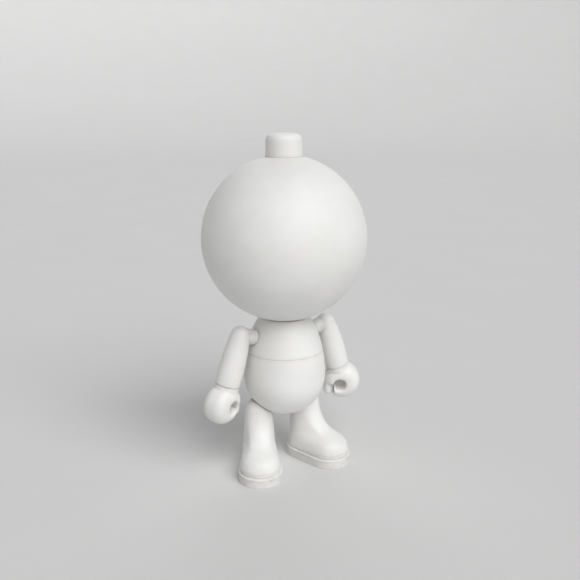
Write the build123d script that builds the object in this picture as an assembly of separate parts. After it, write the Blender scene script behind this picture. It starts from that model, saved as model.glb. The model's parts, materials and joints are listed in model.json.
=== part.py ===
from build123d import *

import os
from math import asin, cos, degrees, radians, sin, sqrt

# A blank vinyl art figure: a ball head with a round cap, an egg body split at the waist, arms with ring-grip
# fists, and legs in round-toed boots. Every large piece is a hollow shell, and snap plugs with a collar hold
# the shells together and let them turn.
#
# Millimetres, +Z up. The figure stands on Z = 0 and faces -Y, so its left side is +X. The origin is on the
# floor under the middle of the head. The pieces of the right side mirror those of the left.

# ---- fits -------------------------------------------------------------------------------------------------
RUNNING_FIT = 0.06  # radial play of a stem that turns in its hole
SEAT_GAP = 0.3  # between two shells that turn on each other
COLLAR_GAP = 0.2  # between a plug's collar and the wall behind it
GLUE_GAP = 0.03  # radial play of a stem that is glued in its hole

# ---- plugs ------------------------------------------------------------------------------------------------
COLLAR_THICKNESS = 1.8
CAP_STEM_RADIUS = 3.5
CAP_COLLAR_RADIUS = 5.0
NECK_STEM_RADIUS = 6.0
NECK_COLLAR_RADIUS = 8.5
WAIST_STEM_RADIUS = 9.0
WAIST_COLLAR_RADIUS = 12.0
SHOULDER_STEM_RADIUS = 2.2
SHOULDER_COLLAR_RADIUS = 3.8
WRIST_STEM_RADIUS = 2.0
WRIST_COLLAR_RADIUS = 3.2
HIP_STEM_RADIUS = 3.5
HIP_COLLAR_RADIUS = 5.0
PAD_RIM = 0.8  # how far a flat pad inside a shell reaches past the collar that turns on it

# ---- head -------------------------------------------------------------------------------------------------
HEAD_RADIUS = 47.9
HEAD_BOTTOM_Z = 92.2
HEAD_WALL = 2.6
CAP_RADIUS = 10.5
CAP_RISE = 12.0  # top of the cap over the top of the ball
CAP_EDGE_RADIUS = 4.0
CAP_WALL = 2.2
CAP_RECESS = 0.4  # depth of the recess in the ball at the cap's edge
CAP_PLAY = 0.15  # radial play of the cap in its recess

# ---- body: a half ball below its widest height and a taller half ellipsoid above ---------------------------
BODY_RADIUS = 24.7
BODY_BOTTOM_Z = 32.7
BODY_RISE = 45.0  # semi-axis of the upper half
BODY_WALL = 2.6
WAIST_Z = 73.5
WAIST_PLATE = 3.0  # flat wall on each side of the waist

# ---- arms: the shoulder's axis leans up, and the arm hangs at a right angle to it --------------------------
SHOULDER_OUTSET = 4.1  # shoulder's centre outside the body's widest side
SHOULDER_Z = 85.8
ARM_SPLAY = 17.0  # degrees out from hanging straight
ARM_TOP_RADIUS = 5.6
ARM_WRIST_RADIUS = 7.25
ARM_LEAN = 10.0  # degrees that the arm's side leans out where it leaves the round shoulder
ARM_LENGTH = 30.3  # from the shoulder's centre to the end of the arm
ARM_WALL = 2.0
ARM_SOLID_LENGTH = 6.5  # solid stretch below the shoulder's centre
ARM_EDGE_RADIUS = 0.6
SHOULDER_BOSS_RADIUS = 4.6
SHOULDER_SEAT_DEPTH = 0.9  # how far the flat for the arm is sunk into the chest
SHOULDER_SPIGOT = 1.5  # how far the plug goes past the arm's centre line

# ---- hands ------------------------------------------------------------------------------------------------
HAND_RADIUS = 11.5
HAND_THICKNESS = 16.0
HAND_EDGE_RADIUS = 6.5
HAND_GAP = 0.35  # from the end of the arm to the top of the fist's ring
HAND_OUTSET = 0.2  # middle of the fist outside the arm's centre line
HAND_TWIST = 30.0  # degrees that the grip's front turns in towards the body
GRIP_RADIUS = 4.0
GRIP_DROP = 0.5  # grip hole below the middle of the fist
GRIP_INSET = 1.4  # grip hole on the body's side of the middle of the fist
GRIP_SLOT = 0.6  # gap between the thumb and the fingertips
THUMB_THICKNESS = 5.9
THUMB_WIDTH = 9.0
THUMB_REACH = 9.0  # thumb's tip below the middle of the fist
THUMB_LENGTH = 14.0
THUMB_EDGE_RADIUS = 2.6
WRIST_SPIGOT = 3.6  # length of plug that is glued into the hand

# ---- legs and boots ----------------------------------------------------------------------------------------
LEG_X = 16.1
LEG_Y = 3.0
LEG_DOME_Z = 35.0  # centre of the leg's round top
LEG_DOME_RADIUS = 8.4
LEG_TOP_Z = LEG_DOME_Z + 7.0
LEG_WALL = 2.2
LEG_CAVITY_TOP_Z = 27.0
HIP_SPIGOT = 5.0  # length of plug that is glued into the leg
FOOT_SPLAY = 24.0  # degrees that each foot points outwards
FOOT_HEEL_RADIUS = 10.2
FOOT_TOE_RADIUS = 12.1
FOOT_REACH = 18.9  # from the leg's centre line to the middle of the toe
FOOT_TUCK = 0.4  # how far the boot's lower edge curves in
SOLE_THICKNESS = 5.6
SOLE_LEDGE = 1.0  # how far the sole stands out round the boot
SOLE_EDGE_RADIUS = 0.6
SOLE_RIM_HEIGHT = 4.0
SOLE_RIM_WALL = 1.6
SOLE_RIM_PLAY = 0.1

# Sections of the boot and leg: height, heel radius, toe radius, reach from the leg's centre line to the toe's
LEG_SECTIONS = (
    (SOLE_THICKNESS, FOOT_HEEL_RADIUS - FOOT_TUCK, FOOT_TOE_RADIUS - FOOT_TUCK, FOOT_REACH),
    (9.0, FOOT_HEEL_RADIUS, FOOT_TOE_RADIUS, FOOT_REACH),
    (12.5, FOOT_HEEL_RADIUS - 0.1, FOOT_TOE_RADIUS - 0.4, FOOT_REACH - 0.5),
    (15.5, FOOT_HEEL_RADIUS - 0.3, FOOT_TOE_RADIUS - 1.2, FOOT_REACH - 3.3),
    (18.0, LEG_DOME_RADIUS + 1.4, LEG_DOME_RADIUS + 1.8, FOOT_REACH - 8.9),
    (21.0, LEG_DOME_RADIUS + 1.2, LEG_DOME_RADIUS + 1.4, 5.8),
    (24.0, LEG_DOME_RADIUS + 1.0, LEG_DOME_RADIUS + 1.15, 3.6),
    (27.0, LEG_DOME_RADIUS + 0.8, LEG_DOME_RADIUS + 0.95, 2.0),
    (31.0, LEG_DOME_RADIUS + 0.5, LEG_DOME_RADIUS + 0.6, 0.9),
    (LEG_DOME_Z, LEG_DOME_RADIUS, LEG_DOME_RADIUS, 0.5),
    (LEG_DOME_Z + 4.0, LEG_DOME_RADIUS - 1.0, LEG_DOME_RADIUS - 1.0, 0.5),
    (LEG_TOP_Z, LEG_DOME_RADIUS - 3.5, LEG_DOME_RADIUS - 3.5, 0.5),
)

QUARTER_HANDLE = 4 / 3 * (sqrt(2) - 1)  # handle of the curve that draws a quarter of an ellipse

# ---- worked out from the sizes above -----------------------------------------------------------------------
HEAD_CENTRE_Z = HEAD_BOTTOM_Z + HEAD_RADIUS
HEAD_TOP_Z = HEAD_CENTRE_Z + HEAD_RADIUS
CAP_TOP_Z = HEAD_TOP_Z + CAP_RISE
CAP_SEAT_Z = HEAD_CENTRE_Z + sqrt(HEAD_RADIUS**2 - CAP_RADIUS**2) - CAP_RECESS
HEAD_CEILING_Z = CAP_SEAT_Z - HEAD_WALL
HEAD_INNER_RADIUS = HEAD_RADIUS - HEAD_WALL
HEAD_FLOOR_Z = HEAD_CENTRE_Z - sqrt(HEAD_INNER_RADIUS**2 - (NECK_COLLAR_RADIUS + PAD_RIM) ** 2)
CHEST_TOP_Z = HEAD_BOTTOM_Z - SEAT_GAP
CHEST_CEILING_Z = CHEST_TOP_Z - BODY_WALL
CHEST_BOTTOM_Z = WAIST_Z + SEAT_GAP / 2
CHEST_FLOOR_Z = CHEST_BOTTOM_Z + WAIST_PLATE
BELLY_TOP_Z = WAIST_Z - SEAT_GAP / 2
BELLY_CEILING_Z = BELLY_TOP_Z - WAIST_PLATE
BODY_CENTRE_Z = BODY_BOTTOM_Z + BODY_RADIUS
BODY_CENTRE = Vector(0, 0, BODY_CENTRE_Z)
HIP_PAD = sqrt((BODY_RADIUS - BODY_WALL) ** 2 - (HIP_COLLAR_RADIUS + PAD_RIM) ** 2)
SHOULDER_X = BODY_RADIUS + SHOULDER_OUTSET
SHOULDER_CENTRE = Vector(SHOULDER_X, 0, SHOULDER_Z)
ARM_DIRECTION = Vector(sin(radians(ARM_SPLAY)), 0, -cos(radians(ARM_SPLAY)))
SHOULDER_INWARD = Vector(-cos(radians(ARM_SPLAY)), 0, -sin(radians(ARM_SPLAY)))
HAND_DROP = HAND_RADIUS + HAND_GAP
HAND_CENTRE = SHOULDER_CENTRE + ARM_DIRECTION * (ARM_LENGTH + HAND_DROP) - SHOULDER_INWARD * HAND_OUTSET
LEG_DOME_CENTRE = Vector(LEG_X, LEG_Y, LEG_DOME_Z)

VERTICAL = Plane.XY
SHOULDER_LINE = Plane(origin=SHOULDER_CENTRE, z_dir=SHOULDER_INWARD)
ARM_LINE = Plane(origin=SHOULDER_CENTRE, z_dir=ARM_DIRECTION)
HIP_LINE = Plane(origin=BODY_CENTRE, z_dir=LEG_DOME_CENTRE - BODY_CENTRE)
FOOT_FRAME = Pos(LEG_X, LEG_Y, 0) * Rot(0, 0, FOOT_SPLAY)


def shoulder_seat_distance():
    """Distance from the shoulder's centre to the flat on the chest, along the shoulder's axis."""
    along, up = SHOULDER_INWARD.X, SHOULDER_INWARD.Z
    rise = SHOULDER_Z - BODY_CENTRE_Z
    a = (along / BODY_RADIUS) ** 2 + (up / BODY_RISE) ** 2
    b = 2 * (SHOULDER_X * along / BODY_RADIUS**2 + rise * up / BODY_RISE**2)
    c = (SHOULDER_X / BODY_RADIUS) ** 2 + (rise / BODY_RISE) ** 2 - 1
    surface = (-b - sqrt(b * b - 4 * a * c)) / (2 * a)
    return surface + SHOULDER_SEAT_DEPTH


SHOULDER_SEAT = shoulder_seat_distance()


def rod(line, low, high, radius):
    """Cylinder round a line, between two distances along it."""
    cylinder = Cylinder(radius, high - low, align=(Align.CENTER, Align.CENTER, Align.MIN))
    return line * Pos(0, 0, low) * cylinder


def slab(low, high):
    """Everything between two heights."""
    side = 4 * HEAD_RADIUS
    return Pos(0, 0, low) * Box(side, side, high - low, align=(Align.CENTER, Align.CENTER, Align.MIN))


def turned(outline, line):
    """Solid of revolution round a line, from an outline drawn with x outwards and y along the line."""
    return line * revolve(Plane.XZ * outline, Axis.Z)


def closed(*edges):
    """Face inside a closed run of edges."""
    return make_face(Curve() + list(edges))


def egg(inset):
    """The body's form, moved in by an inset."""
    radius, rise = BODY_RADIUS - inset, BODY_RISE - inset
    low = CenterArc((0, 0), radius, -90, 90)
    high = Bezier((radius, 0), (radius, QUARTER_HANDLE * rise), (QUARTER_HANDLE * radius, rise), (0, rise))
    return turned(closed(low, high, Line(high @ 1, low @ 0)), Plane(origin=BODY_CENTRE, x_dir=(0, 1, 0)))


def head_ball(radius):
    """Ball round the head's centre."""
    return Pos(0, 0, HEAD_CENTRE_Z) * Sphere(radius)


def make_head_shell():
    """Hollow ball with a flat floor for the neck plug and a recess for the cap."""
    cavity = head_ball(HEAD_INNER_RADIUS) & slab(HEAD_FLOOR_Z, HEAD_CEILING_Z)
    recess = rod(VERTICAL, CAP_SEAT_Z, HEAD_TOP_Z + 1, CAP_RADIUS + CAP_PLAY)
    cap_hole = rod(VERTICAL, HEAD_CEILING_Z - 1, CAP_SEAT_Z + 1, CAP_STEM_RADIUS + GLUE_GAP)
    neck_hole = rod(VERTICAL, HEAD_BOTTOM_Z - 1, HEAD_FLOOR_Z + 1, NECK_STEM_RADIUS + GLUE_GAP)
    return head_ball(HEAD_RADIUS) - cavity - recess - cap_hole - neck_hole


def make_head_cap():
    """Hollow round cap with a stem and a collar that snaps in behind the ball's wall."""
    body = rod(VERTICAL, CAP_SEAT_Z, CAP_TOP_Z, CAP_RADIUS)
    body = fillet(body.edges().group_by(Axis.Z)[-1], CAP_EDGE_RADIUS)
    hollow = rod(VERTICAL, CAP_SEAT_Z + CAP_WALL, CAP_TOP_Z - CAP_WALL, CAP_RADIUS - CAP_WALL)
    hollow = fillet(hollow.edges().group_by(Axis.Z)[-1], max(CAP_EDGE_RADIUS - CAP_WALL, 0.5))
    collar_top = HEAD_CEILING_Z - COLLAR_GAP
    stem = rod(VERTICAL, collar_top, CAP_SEAT_Z, CAP_STEM_RADIUS)
    collar = rod(VERTICAL, collar_top - COLLAR_THICKNESS, collar_top, CAP_COLLAR_RADIUS)
    return body - hollow + stem + collar


def make_neck_connector():
    """Spool glued to the head's floor, whose lower collar turns under the chest's top."""
    low = CHEST_CEILING_Z - COLLAR_GAP
    stem = rod(VERTICAL, low, HEAD_FLOOR_Z, NECK_STEM_RADIUS)
    lower = rod(VERTICAL, low - COLLAR_THICKNESS, low, NECK_COLLAR_RADIUS)
    upper = rod(VERTICAL, HEAD_FLOOR_Z, HEAD_FLOOR_Z + COLLAR_THICKNESS, NECK_COLLAR_RADIUS)
    return lower + stem + upper


def both_sides(solid):
    """A left piece together with its mirror image."""
    return [solid, mirror(solid, about=Plane.YZ)]


def make_chest_shell():
    """Upper body shell with a dished top under the head and a sunk flat for each arm."""
    pad_end = SHOULDER_SEAT + BODY_WALL
    shell = egg(0) & slab(CHEST_BOTTOM_Z, HEAD_CENTRE_Z)
    shell -= head_ball(HEAD_RADIUS + SEAT_GAP)
    cavity = egg(BODY_WALL) & slab(CHEST_FLOOR_Z, CHEST_CEILING_Z)
    for pad in both_sides(rod(SHOULDER_LINE, 0, pad_end, SHOULDER_COLLAR_RADIUS + PAD_RIM)):
        cavity -= pad
    shell -= cavity
    seat = rod(SHOULDER_LINE, 0, SHOULDER_SEAT, SHOULDER_BOSS_RADIUS + SEAT_GAP)
    hole = rod(SHOULDER_LINE, SHOULDER_SEAT - 1, pad_end + 1, SHOULDER_STEM_RADIUS + RUNNING_FIT)
    for cut in both_sides(seat) + both_sides(hole):
        shell -= cut
    shell -= rod(VERTICAL, CHEST_CEILING_Z - 1, HEAD_CENTRE_Z, NECK_STEM_RADIUS + RUNNING_FIT)
    shell -= rod(VERTICAL, CHEST_BOTTOM_Z - 1, CHEST_FLOOR_Z + 1, WAIST_STEM_RADIUS + GLUE_GAP)
    return shell


def make_waist_connector():
    """Spool glued to the chest's floor, whose lower collar turns under the belly's top plate."""
    low = BELLY_CEILING_Z - COLLAR_GAP
    stem = rod(VERTICAL, low, CHEST_FLOOR_Z, WAIST_STEM_RADIUS)
    lower = rod(VERTICAL, low - COLLAR_THICKNESS, low, WAIST_COLLAR_RADIUS)
    upper = rod(VERTICAL, CHEST_FLOOR_Z, CHEST_FLOOR_Z + COLLAR_THICKNESS, WAIST_COLLAR_RADIUS)
    return lower + stem + upper


def make_belly_shell():
    """Lower body shell with a flat top plate and a flat pad behind each hip hole."""
    shell = egg(0) & slab(0, BELLY_TOP_Z)
    cavity = egg(BODY_WALL) & slab(0, BELLY_CEILING_Z)
    for pad in both_sides(rod(HIP_LINE, HIP_PAD, BODY_RADIUS, HIP_COLLAR_RADIUS + 2 * PAD_RIM)):
        cavity -= pad
    shell -= cavity
    for cut in both_sides(rod(HIP_LINE, HIP_PAD - 1, BODY_RADIUS + 1, HIP_STEM_RADIUS + RUNNING_FIT)):
        shell -= cut
    shell -= rod(VERTICAL, BELLY_CEILING_Z - 1, BELLY_TOP_Z + 1, WAIST_STEM_RADIUS + RUNNING_FIT)
    return shell


def make_arm():
    """Hollow arm that swells below a round shoulder, with a boss that sits on the chest's flat."""
    top = CenterArc((0, 0), ARM_TOP_RADIUS, -90, 90 - ARM_LEAN)
    side = TangentArc(top @ 1, (ARM_WRIST_RADIUS, ARM_LENGTH), tangent=top % 1)
    end = Line(side @ 1, (0, ARM_LENGTH))
    arm = turned(closed(top, side, end, Line(end @ 1, top @ 0)), ARM_LINE)
    arm = fillet(arm.edges().filter_by(GeomType.CIRCLE).sort_by(Axis.Z)[0], ARM_EDGE_RADIUS)
    arm += rod(SHOULDER_LINE, 0, SHOULDER_SEAT - SEAT_GAP, SHOULDER_BOSS_RADIUS)
    first, last = ARM_SOLID_LENGTH, ARM_LENGTH - ARM_WALL
    inner_first, inner_last = ARM_TOP_RADIUS - ARM_WALL, ARM_WRIST_RADIUS - ARM_WALL
    middle = side @ 0.5
    hollow = closed(
        Line((0, first), (inner_first, first)),
        Line((inner_first, first), (middle.X - ARM_WALL, middle.Y)),
        Line((middle.X - ARM_WALL, middle.Y), (inner_last, last)),
        Line((inner_last, last), (0, last)),
        Line((0, last), (0, first)),
    )
    arm -= turned(hollow, ARM_LINE)
    arm -= rod(SHOULDER_LINE, -SHOULDER_SPIGOT, SHOULDER_SEAT, SHOULDER_STEM_RADIUS + GLUE_GAP)
    return arm - rod(ARM_LINE, last - 1, ARM_LENGTH + 1, WRIST_STEM_RADIUS + RUNNING_FIT)


def make_shoulder_connector():
    """Plug glued into the arm, whose collar turns behind the chest's wall."""
    low = SHOULDER_SEAT + BODY_WALL + COLLAR_GAP
    stem = rod(SHOULDER_LINE, -SHOULDER_SPIGOT, low, SHOULDER_STEM_RADIUS)
    return stem + rod(SHOULDER_LINE, low, low + COLLAR_THICKNESS, SHOULDER_COLLAR_RADIUS)


def make_hand():
    """Round fist with a grip hole, a thumb on the body's side, and a slot between thumb and fingertips."""
    across = Align.CENTER
    fist = Rot(90, 0, 0) * Cylinder(HAND_RADIUS, HAND_THICKNESS)
    fist = fillet(fist.edges().filter_by(GeomType.CIRCLE), HAND_EDGE_RADIUS)
    grip = Pos(-GRIP_INSET, 0, -GRIP_DROP)
    thumb_side = -GRIP_INSET - GRIP_RADIUS
    below_grip = Pos(thumb_side, 0, -GRIP_DROP) * Box(
        2 * HAND_RADIUS, 2 * HAND_THICKNESS, 2 * HAND_RADIUS, align=(Align.MAX, across, Align.MAX)
    )
    thumb = Box(THUMB_THICKNESS, THUMB_WIDTH, THUMB_LENGTH, align=(Align.MAX, across, Align.MIN))
    thumb = fillet(thumb.edges() - thumb.edges().group_by(Axis.Z)[-1], THUMB_EDGE_RADIUS)
    fist = fist - below_grip + Pos(thumb_side, 0, -THUMB_REACH) * thumb
    fist -= grip * Rot(90, 0, 0) * Cylinder(GRIP_RADIUS, 2 * HAND_THICKNESS)
    slot = Box(GRIP_SLOT, 2 * HAND_THICKNESS, 2 * HAND_RADIUS, align=(Align.MIN, across, Align.MAX))
    fist -= Pos(thumb_side, 0, -GRIP_DROP) * slot
    hand = Pos(HAND_CENTRE) * fist
    hand = hand.rotate(Axis(SHOULDER_CENTRE, ARM_DIRECTION), HAND_TWIST)
    wrist_face = ARM_LENGTH + SEAT_GAP
    hand += rod(ARM_LINE, wrist_face, ARM_LENGTH + HAND_DROP - GRIP_RADIUS, ARM_WRIST_RADIUS)
    return hand - rod(ARM_LINE, wrist_face - 1, wrist_face + WRIST_SPIGOT, WRIST_STEM_RADIUS + GLUE_GAP)


def make_wrist_connector():
    """Plug glued into the hand, whose collar turns inside the arm's end wall."""
    low = ARM_LENGTH - ARM_WALL - COLLAR_GAP
    stem = rod(ARM_LINE, low, ARM_LENGTH + SEAT_GAP + WRIST_SPIGOT, WRIST_STEM_RADIUS)
    return stem + rod(ARM_LINE, low - COLLAR_THICKNESS, low, WRIST_COLLAR_RADIUS)


def foot_outline(heel_radius, toe_radius, reach):
    """Outline round the leg's centre line: a round heel, a round toe ahead of it, and two straight sides."""
    taper = degrees(asin((toe_radius - heel_radius) / reach))
    heel = CenterArc((0, 0), heel_radius, taper, 180 - 2 * taper)
    toe = CenterArc((0, -reach), toe_radius, 180 - taper, 180 + 2 * taper)
    return closed(heel, Line(heel @ 1, toe @ 0), toe, Line(toe @ 1, heel @ 0))


def leg_form(inset, low, high):
    """The boot and leg between two heights, moved in by an inset."""
    sections = []
    for height, heel_radius, toe_radius, reach in LEG_SECTIONS:
        outline = foot_outline(heel_radius - inset, toe_radius - inset, reach)
        sections.append(Pos(0, 0, height) * outline)
    return FOOT_FRAME * (loft(sections) & slab(low, high))


def make_leg():
    """Hollow boot and leg in one, with a round top dished to turn on the belly."""
    leg = leg_form(0, SOLE_THICKNESS, LEG_TOP_Z)
    leg -= leg_form(LEG_WALL, SOLE_THICKNESS, LEG_CAVITY_TOP_Z)
    leg -= Pos(BODY_CENTRE) * Sphere(BODY_RADIUS + SEAT_GAP)
    return leg - rod(HIP_LINE, HIP_PAD, BODY_RADIUS + SEAT_GAP + HIP_SPIGOT, HIP_STEM_RADIUS + GLUE_GAP)


def make_hip_connector():
    """Plug glued into the leg, whose collar turns behind the belly's wall."""
    low = HIP_PAD - COLLAR_GAP
    stem = rod(HIP_LINE, low, BODY_RADIUS + SEAT_GAP + HIP_SPIGOT, HIP_STEM_RADIUS)
    return stem + rod(HIP_LINE, low - COLLAR_THICKNESS, low, HIP_COLLAR_RADIUS)


def make_sole():
    """Outsole that stands out round the boot, with a rim that locates it inside."""

    def layer(grow, low, high):
        outline = foot_outline(FOOT_HEEL_RADIUS + grow, FOOT_TOE_RADIUS + grow, FOOT_REACH)
        return Pos(0, 0, low) * extrude(outline, high - low)

    sole = layer(SOLE_LEDGE, 0, SOLE_THICKNESS)
    faces = sole.faces().sort_by(Axis.Z)
    sole = fillet(faces[0].edges() + faces[-1].edges(), SOLE_EDGE_RADIUS)
    rim_top = SOLE_THICKNESS + SOLE_RIM_HEIGHT
    rim_inset = FOOT_TUCK + LEG_WALL + SOLE_RIM_PLAY
    rim = layer(-rim_inset, SOLE_THICKNESS - 1, rim_top)
    rim -= layer(-rim_inset - SOLE_RIM_WALL, SOLE_THICKNESS - 1, rim_top)
    return FOOT_FRAME * (sole + rim)


def main():
    """Write one STEP file for each node."""
    centre_pieces = {
        "head_shell": make_head_shell(),
        "head_cap": make_head_cap(),
        "neck_connector": make_neck_connector(),
        "chest_shell": make_chest_shell(),
        "waist_connector": make_waist_connector(),
        "belly_shell": make_belly_shell(),
    }
    left_pieces = {
        "arm": make_arm(),
        "shoulder_connector": make_shoulder_connector(),
        "hand": make_hand(),
        "wrist_connector": make_wrist_connector(),
        "leg": make_leg(),
        "hip_connector": make_hip_connector(),
        "sole": make_sole(),
    }
    os.makedirs("parts", exist_ok=True)
    for name, solid in centre_pieces.items():
        export_step(solid, f"parts/{name}.step")
    for name, solid in left_pieces.items():
        left, right = both_sides(solid)
        export_step(left, f"parts/{name}_left.step")
        export_step(right, f"parts/{name}_right.step")


if __name__ == "__main__":
    main()
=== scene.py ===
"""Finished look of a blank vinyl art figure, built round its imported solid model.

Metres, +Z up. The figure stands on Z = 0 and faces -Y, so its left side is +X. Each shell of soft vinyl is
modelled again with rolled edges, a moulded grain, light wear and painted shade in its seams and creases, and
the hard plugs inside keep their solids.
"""

import json
import logging
import math
from dataclasses import dataclass, field
from enum import Enum
from typing import Callable, Iterable, Optional, Sequence

import bmesh
import bpy
from mathutils import Matrix, Vector


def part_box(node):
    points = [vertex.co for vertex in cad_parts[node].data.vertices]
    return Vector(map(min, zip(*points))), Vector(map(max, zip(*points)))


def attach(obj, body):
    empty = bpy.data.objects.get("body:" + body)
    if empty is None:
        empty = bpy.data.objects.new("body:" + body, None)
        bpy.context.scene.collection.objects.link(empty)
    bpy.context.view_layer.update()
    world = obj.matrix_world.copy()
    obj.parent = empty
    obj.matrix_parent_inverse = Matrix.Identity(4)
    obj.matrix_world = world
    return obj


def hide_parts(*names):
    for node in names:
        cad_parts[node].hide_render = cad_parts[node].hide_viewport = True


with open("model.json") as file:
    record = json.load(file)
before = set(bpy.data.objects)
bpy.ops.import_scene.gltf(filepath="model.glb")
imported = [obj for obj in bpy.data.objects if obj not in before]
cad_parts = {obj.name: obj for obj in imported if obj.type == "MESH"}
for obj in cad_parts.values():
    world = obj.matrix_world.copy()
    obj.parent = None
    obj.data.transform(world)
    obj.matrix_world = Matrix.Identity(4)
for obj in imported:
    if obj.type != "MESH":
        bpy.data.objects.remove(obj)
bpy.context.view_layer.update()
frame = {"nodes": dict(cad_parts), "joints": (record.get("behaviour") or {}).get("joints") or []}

LOG = logging.getLogger("figure")
Body = bmesh.types.BMesh
Node = bpy.types.ShaderNode
Socket = bpy.types.NodeSocket
Colour = tuple[float, float, float]

PAST = 0.001  # how far a cutting solid reaches past the wall that it cuts
NEAR = 0.001  # how far from a rim its edges are looked for
HAIR = 0.0001  # the least difference between two lengths that counts
WEAR_AND_SHADE = "wear"  # name of the attribute that says how worn an edge is, and how much painted shade falls in a seam or crease there


class Side(Enum):
    """Side of the figure, with the sign of X there."""

    LEFT = 1
    RIGHT = -1

    @property
    def word(self) -> str:
        """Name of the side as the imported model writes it."""
        return self.name.lower()


class Carve(Enum):
    """How one solid works on another."""

    CUT = "DIFFERENCE"
    JOIN = "UNION"


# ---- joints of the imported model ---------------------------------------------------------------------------


@dataclass(frozen=True)
class Pivot:
    """Point and line that a joint turns on."""

    point: Vector
    line: Vector

    @classmethod
    def of(cls, name: str) -> "Pivot":
        """Read a joint.

        Args:
            name: The joint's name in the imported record.

        Returns:
            Its point and unit line.
        """
        joint = next(j for j in frame["joints"] if j["name"] == name)
        return cls(Vector(joint["pos_m"]), Vector(joint["axis"]).normalized())


def pointing(line: Vector, way: Vector) -> Vector:
    """Give a line the sign that agrees with a rough direction."""
    return line if line.dot(way) > 0 else -line


def along(point: Vector, direction: Vector) -> Matrix:
    """Place whose Z runs from a point in a direction."""
    return Matrix.Translation(point) @ direction.to_track_quat("Z", "Y").to_matrix().to_4x4()


def crossing(gap: Callable[[float], float], low: float, high: float) -> float:
    """Halve an interval until it closes on the value where a gap is zero.

    Args:
        gap: Function that changes sign once between low and high.
        low: Start of the interval.
        high: End of the interval.

    Returns:
        The value where the gap is zero.
    """
    rising = gap(high) > gap(low)
    for _ in range(50):
        middle = (low + high) / 2
        if (gap(middle) > 0) == rising:
            high = middle
        else:
            low = middle
    return (low + high) / 2


# ---- shaping ----------------------------------------------------------------------------------------------


class Outline:
    """Section of a round piece: a line drawn with X outwards and Z along the piece's centre line."""

    def __init__(self, radius: float, height: float) -> None:
        """Start the line.

        Args:
            radius: Distance of the first point from the centre line.
            height: Place of the first point along the centre line.
        """
        self.mesh = bmesh.new()
        self.first = self.mesh.verts.new((radius, 0.0, height))
        self.tip = self.first

    def line(self, radius: float, height: float, steps: int = 1) -> "Outline":
        """Draw straight on to a point.

        Args:
            radius: Distance of the point from the centre line.
            height: Place of the point along the centre line.
            steps: Number of edges drawn.

        Returns:
            The outline, so that calls chain.
        """
        move = (Vector((radius, 0.0, height)) - self.tip.co) / steps
        for _ in range(steps):
            grown = bmesh.ops.extrude_vert_indiv(self.mesh, verts=[self.tip])
            self.tip = grown["verts"][0]
            self.tip.co += move
        return self

    def arc(self, radius: float, height: float, turn: float, steps: int, tall: float = 1.0) -> "Outline":
        """Draw an arc, or part of an ellipse, about a centre.

        Args:
            radius: Distance of the arc's centre from the centre line.
            height: Place of the arc's centre along the centre line.
            turn: Angle turned in radians, positive from up towards outwards.
            steps: Number of edges drawn.
            tall: Height of the ellipse over its width.

        Returns:
            The outline, so that calls chain.
        """
        centre = Vector((radius, 0.0, height))
        self.tip.co.z = height + (self.tip.co.z - height) / tall
        start, known = self.tip, set(self.mesh.verts)
        spun = bmesh.ops.spin(
            self.mesh, geom=[self.tip], cent=centre, axis=(0, 1, 0), dvec=(0, 0, 0), angle=turn, steps=steps
        )
        self.tip = next(v for v in spun["geom_last"] if isinstance(v, bmesh.types.BMVert))
        drawn = [start] + [v for v in self.mesh.verts if v not in known]
        bmesh.ops.scale(self.mesh, vec=(1, 1, tall), space=Matrix.Translation(-centre), verts=drawn)
        return self

    def sweep(self, radius: float, height: float, lean: float, steps: int) -> "Outline":
        """Draw an arc to a point, leaving at a given lean.

        Args:
            radius: Distance of the point from the centre line.
            height: Place of the point along the centre line.
            lean: Angle in radians that the arc first leans outwards.
            steps: Number of edges drawn.

        Returns:
            The outline, so that calls chain.
        """
        start = self.tip.co.copy()
        span = Vector((radius, 0.0, height)) - start
        inwards = Vector((-math.cos(lean), 0.0, math.sin(lean)))
        bend = span.length_squared / (2 * span.dot(inwards))
        centre = start + inwards * bend
        return self.arc(centre.x, centre.z, -2 * math.asin(span.length / (2 * bend)), steps)

    def close(self) -> "Outline":
        """Join the last point to the first."""
        self.mesh.edges.new((self.tip, self.first))
        return self

    def turned(self, steps: int, place: Optional[Matrix] = None) -> Body:
        """Turn the section into a round body.

        Args:
            steps: Number of faces round the body.
            place: Where the centre line goes.

        Returns:
            The body, closed where the section was closed or ended on the centre line.
        """
        body = self.mesh
        bmesh.ops.spin(
            body, geom=body.verts[:] + body.edges[:], cent=(0, 0, 0), axis=(0, 0, 1), dvec=(0, 0, 0),
            angle=math.tau, steps=steps, use_merge=True,
        )
        bmesh.ops.remove_doubles(body, verts=body.verts, dist=1e-6)
        bmesh.ops.recalc_face_normals(body, faces=body.faces)
        if place is not None:
            bmesh.ops.transform(body, matrix=place, verts=body.verts)
        return body


def rod(place: Matrix, low: float, high: float, radius: float, steps: int = 72, edge: float = 0.0) -> Body:
    """Make a round bar.

    Args:
        place: Where the bar's centre line goes.
        low: Start along the line.
        high: End along the line.
        radius: Radius of the bar.
        steps: Number of faces round the bar.
        edge: Radius of its two rolled edges.

    Returns:
        The bar.
    """
    bar = Outline(0.0, low).line(radius, low).line(radius, high).line(0.0, high).turned(steps, place)
    return rolled(bar, edge, 1.0, 4) if edge else bar


def ball(centre: Vector, radius: float, steps: int = 96) -> Body:
    """Make a ball from a half circle turned about its centre line."""
    half = Outline(0.0, radius).arc(0.0, 0.0, math.pi, steps // 2)
    return half.turned(steps, Matrix.Translation(centre))


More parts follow.
